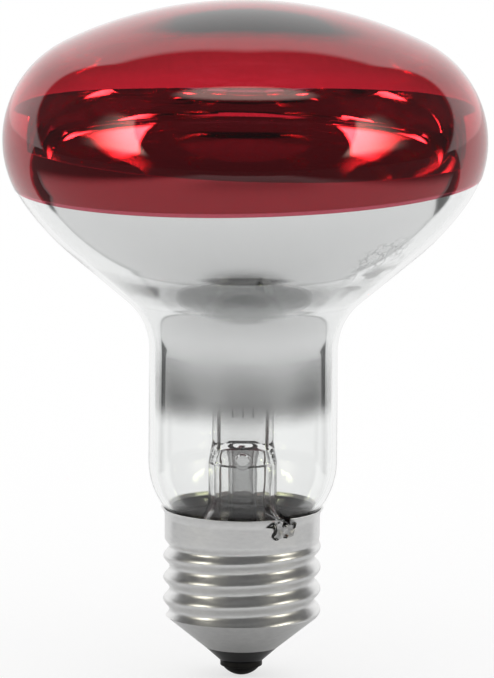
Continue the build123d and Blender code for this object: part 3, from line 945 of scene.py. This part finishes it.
tree = cap_aluminium.node_tree
shader = tree.nodes["Principled BSDF"]
bright = shader.inputs["Base Color"].links[0].from_socket
polish = shader.inputs["Roughness"].links[0].from_socket
place = object_place(tree)
outwards = vector_math(tree, "LENGTH", flattened(tree, place))
outside = soft_step(tree, outwards, shell_inside - shell_edge, shell_inside + shell_edge)
below = arithmetic(tree, "LESS_THAN", parts_of(tree, place)["Z"], skirt_foot)
outside = arithmetic(tree, "MAXIMUM", outside, below)
smoother = multiply(tree, outside, arithmetic(tree, "SUBTRACT", dull_roughness, polish))
tree.links.new(mixed(tree, outside, dull_grey, bright), shader.inputs["Base Color"])
tree.links.new(outside, shader.inputs["Metallic"])
tree.links.new(arithmetic(tree, "SUBTRACT", dull_roughness, smoother), shader.inputs["Roughness"])
print("nodes in the cap's finish:", len(tree.nodes))

# %% [markdown]
# The filament is a close coil of fine wire, hung in a half ring from the leads. A small circle, the
# wire's section, is spun with a step along the axis, which winds a straight coil, and the coil is then
# bent round the bulb's axis.

# %% Filament coil
filament_low, filament_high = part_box("filament")
coil_outer_radius = (filament_high.z - filament_low.z) / 2
ring_radius = filament_high.y - coil_outer_radius
ring_height = (filament_low.z + filament_high.z) / 2
coil_wire = 0.16 * mm
coil_turns = 88
steps_per_turn = 14
wire_sides = 6
coil_steps = coil_turns * steps_per_turn
coil_length = pi * ring_radius - coil_wire
coil_radius = coil_outer_radius - coil_wire / 2
tungsten = grained(
    "tungsten", dark=(0.22, 0.22, 0.23), light=(0.40, 0.40, 0.41), scale=1500.0, rough=(0.3, 0.45),
    depth=0.005 * mm,
)

drawing = bmesh.new()
on_coil = Matrix.Translation((coil_radius, 0, 0)) @ Matrix.Rotation(pi / 2, 4, "X")
bmesh.ops.create_circle(drawing, segments=wire_sides, radius=coil_wire / 2, matrix=on_coil)
bmesh.ops.spin(
    drawing,
    geom=drawing.verts[:] + drawing.edges[:],
    cent=(0, 0, 0),
    axis=(0, 0, 1),
    angle=2 * pi * coil_turns,
    steps=coil_steps,
    dvec=(0, 0, coil_length / coil_steps),
)
bmesh.ops.holes_fill(drawing, edges=[edge for edge in drawing.edges if edge.is_boundary])
for vertex in drawing.verts:
    along = pi - (vertex.co.z + coil_wire / 2) / ring_radius
    reach = ring_radius + vertex.co.x
    vertex.co = Vector((reach * cos(along), reach * sin(along), ring_height + vertex.co.y))
finish_piece(drawing, "filament_coil", ["filament"], [tungsten])

# %% [markdown]
# The lead is soldered to the cap's rim by hand, and the joint on this bulb is a mess: a flat splash of
# solder with a flux-blackened border. Its outline is laid on the skirt, the border is inset, the middle
# is raised in lumps, and the whole is thickened.

# %% Side solder
splash_outline = [
    (5.25, 27.9), (5.55, 26.7), (5.25, 25.6), (5.85, 25.0), (6.6, 25.35), (7.4, 25.2), (8.45, 25.5),
    (8.75, 26.7), (9.0, 27.6), (8.4, 27.3), (7.7, 27.75), (6.9, 27.3), (6.2, 28.15),
]
skirt_radius = 12.9 * mm
splash_border = 0.26 * mm
splash_thickness = 0.28 * mm
edge_rise = 0.30 * mm
middle_rise = 0.34 * mm
lump_rise = 0.16 * mm
lump_width = 0.31 * mm
lump_height = 0.37 * mm
solder_metal = grained(
    "solder", dark=(0.05, 0.05, 0.05), light=(0.90, 0.90, 0.90), scale=1100.0, rough=(0.2, 0.45),
    depth=0.10 * mm,
)
flux_black = grained(
    "burnt_flux", dark=(0.01, 0.01, 0.01), light=(0.10, 0.10, 0.10), scale=1500.0, rough=(0.3, 0.6),
    depth=0.05 * mm,
)

drawing = bmesh.new()
splash = drawing.faces.new([drawing.verts.new((x * mm, 0, z * mm)) for x, z in splash_outline])
border = bmesh.ops.inset_region(
    drawing, faces=[splash], thickness=splash_border, use_even_offset=False, use_boundary=True
)["faces"]
for face in border:
    face.material_index = 1
bmesh.ops.triangulate(drawing, faces=drawing.faces[:])
bmesh.ops.subdivide_edges(drawing, edges=drawing.edges[:], cuts=2, use_grid_fill=True)
for vertex in drawing.verts:
    lump = lump_rise * sin(vertex.co.x / lump_width) * sin(vertex.co.z / lump_height + 1.0)
    rise = edge_rise if vertex.is_boundary else middle_rise + lump
    vertex.co.y = -sqrt((skirt_radius + rise) ** 2 - vertex.co.x**2)
bmesh.ops.recalc_face_normals(drawing, faces=drawing.faces[:])
bmesh.ops.solidify(drawing, geom=drawing.faces[:], thickness=splash_thickness)
finish_piece(drawing, "side_splash", ["side_solder"], [solder_metal, flux_black])

# %% [markdown]
# The insulator is black glass poured into the end of the cap, glossy with a slightly uneven skin. The
# cement that holds the cap to the neck is baked, matt and mottled. Both keep their CAD solids.

# %% Insulator and cement
black_glass = grained(
    "black_glass", dark=(0.004, 0.004, 0.005), light=(0.009, 0.009, 0.010), scale=300.0, rough=(0.05, 0.12),
    depth=0.02 * mm, metallic=0.0,
)
cement = grained(
    "cement", dark=(0.11, 0.10, 0.09), light=(0.21, 0.19, 0.17), scale=900.0, rough=(0.85, 0.95),
    depth=0.1 * mm, metallic=0.0,
)
dress(black_glass, "cap_insulator")
dress(cement, "basing_cement")
